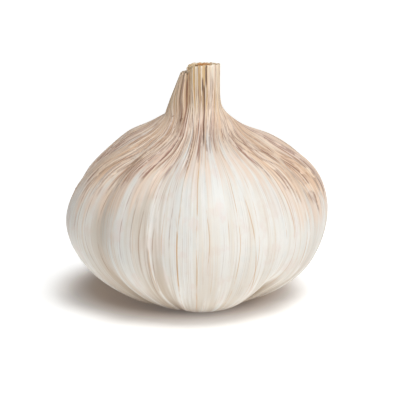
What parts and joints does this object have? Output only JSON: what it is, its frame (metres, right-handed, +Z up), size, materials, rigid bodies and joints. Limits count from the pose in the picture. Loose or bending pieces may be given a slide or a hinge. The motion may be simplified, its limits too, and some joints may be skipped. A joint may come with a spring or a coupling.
{
  "type": "garlic bulb",
  "caption": "Whole dried garlic bulb: a squat cluster of cloves wrapped in papery skin, with a cut neck of leaf sheaths above and a flat trimmed root plate below.",
  "frame": {"origin": "centre of the root plate's cut face, the flat spot that the bulb rests on", "axes": "+Z up along the neck, -Y towards the front, +X to the right seen from the front"},
  "size_m": [0.0617, 0.0607, 0.0581],
  "materials": {
    "papery_skin": "dry papery garlic skin, white with tan and purple-brown veins, soft sheen",
    "dry_sheath": "dry brown leaf sheath, fibrous and matt",
    "cut_stalk": "dry fibrous stalk, cut across",
    "cork_plate": "corky root plate with trimmed dry roots, matt"
  },
  "bodies": {
    "root": {"bulb": "papery_skin", "outer_sheath": "dry_sheath", "stalk": "cut_stalk", "root_plate": "cork_plate"}
  },
  "joints": []
}
